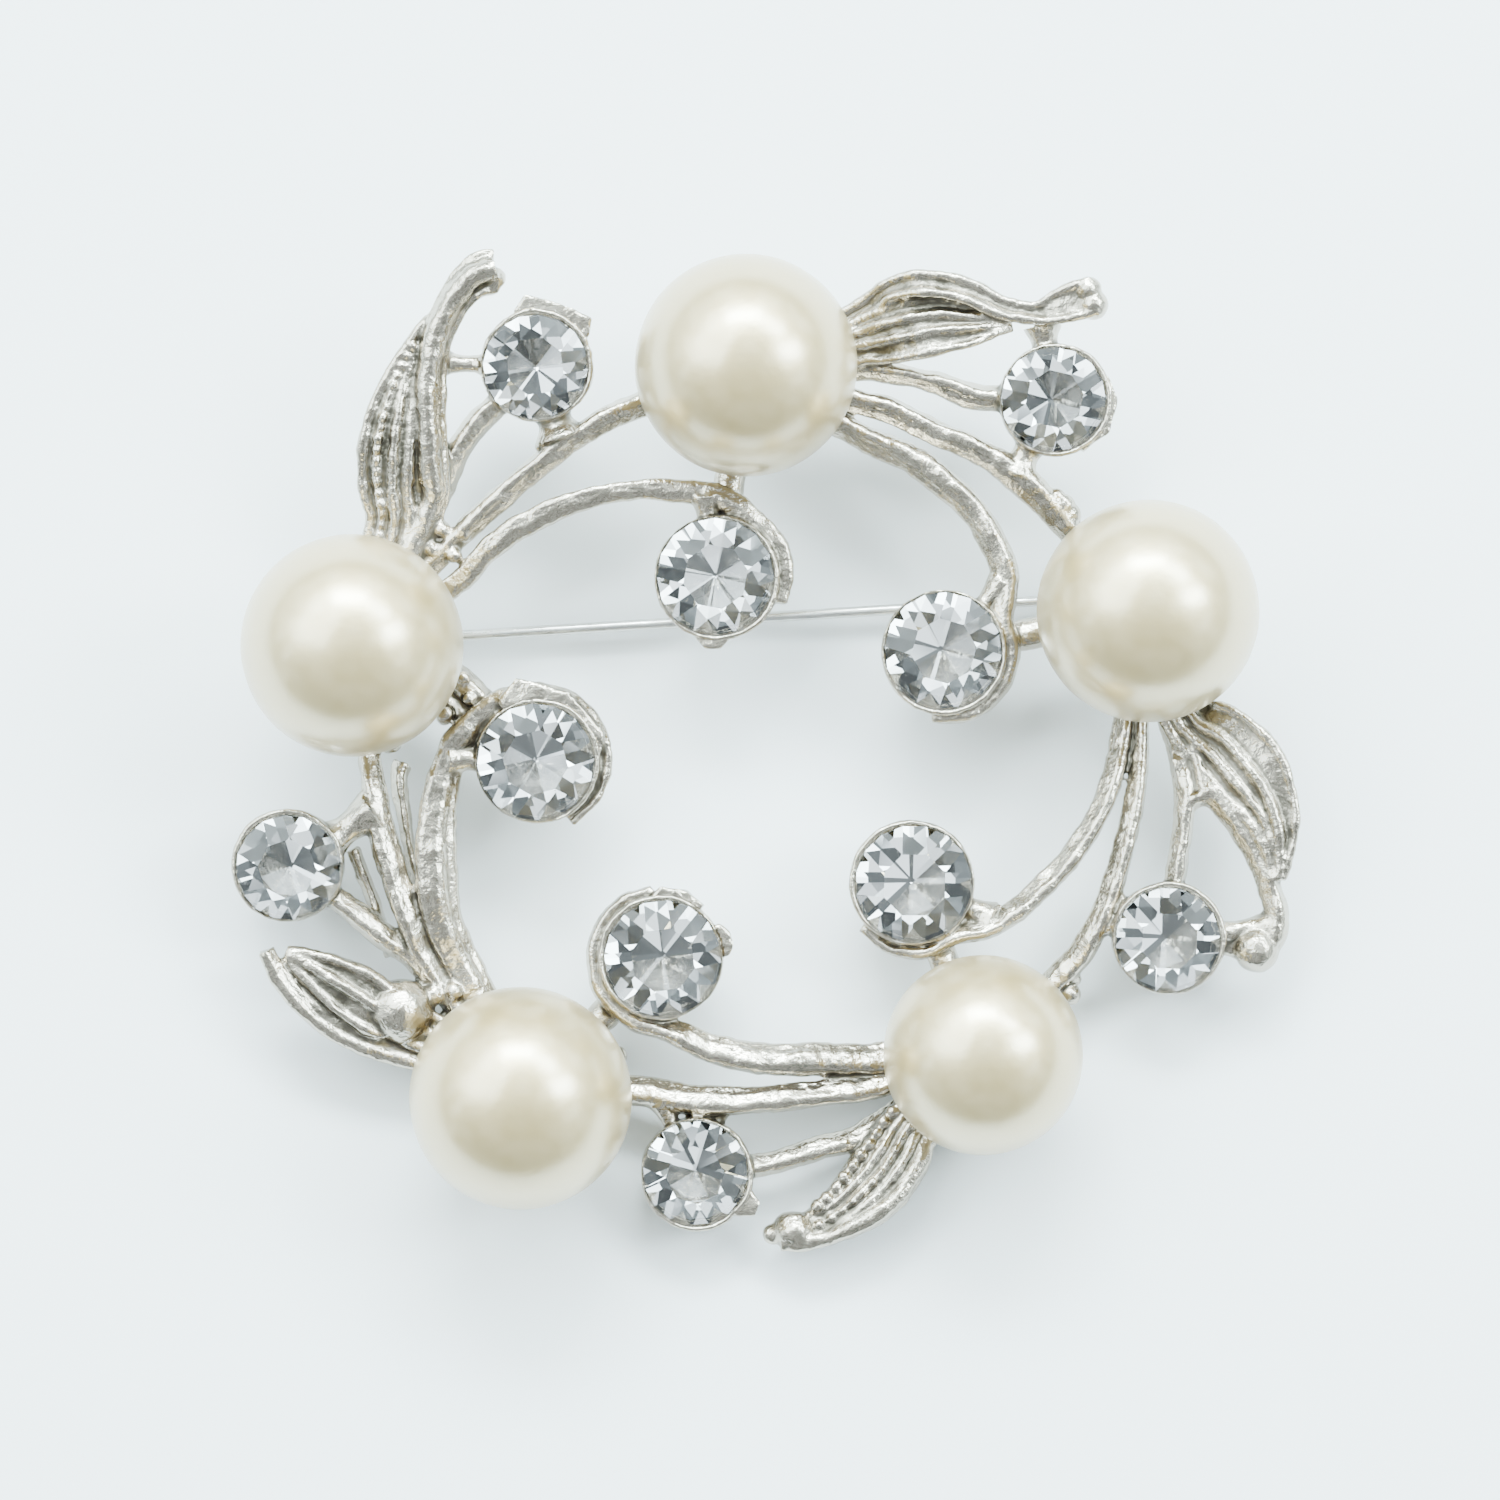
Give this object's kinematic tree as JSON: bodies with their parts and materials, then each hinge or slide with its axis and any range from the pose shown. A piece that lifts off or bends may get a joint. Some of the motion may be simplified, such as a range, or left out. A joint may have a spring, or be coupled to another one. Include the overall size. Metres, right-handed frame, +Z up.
{
  "type": "wreath brooch",
  "caption": "Round wreath brooch: pearls on a ring of cast stems and ribbed leaves, cut clear stones in cups, and a hinged pin with a catch on the back.",
  "frame": {"origin": "on the surface that the brooch lies on, under the middle of its bounding box", "axes": "+Z up from the surface, the face up; +Y to the top of the picture; +X to its right. The back leans 6.8 degrees, on its hinge, its catch and one low setting"},
  "size_m": [0.0486, 0.0452, 0.0151],
  "materials": {
    "cast_metal": "bright silver plating over cast metal, softly uneven",
    "steel": "polished wire",
    "pearl": "cream pearl lustre",
    "crystal": "clear cut stone with a foiled back"
  },
  "bodies": {
    "brooch": {"wreath_frame": "cast_metal", "hinge_rivet": "steel", "pearl_1": "pearl", "inner_stone_1": "crystal", "outer_stone_1": "crystal", "pearl_2": "pearl", "inner_stone_2": "crystal", "outer_stone_2": "crystal", "pearl_5": "pearl", "inner_stone_5": "crystal", "outer_stone_5": "crystal", "pearl_4": "pearl", "inner_stone_4": "crystal", "outer_stone_4": "crystal", "pearl_3": "pearl", "inner_stone_3": "crystal", "outer_stone_3": "crystal"},
    "pin": {"pin_stem": "steel"}
  },
  "joints": [
    {"name": "pin_hinge", "type": "hinge", "parent": "brooch", "child": "pin", "pos_m": [-0.01864, 0.00554, 0.00102], "axis": [-0.0601, 0.9912, 0.1181], "range_deg": [0, 95]}
  ]
}
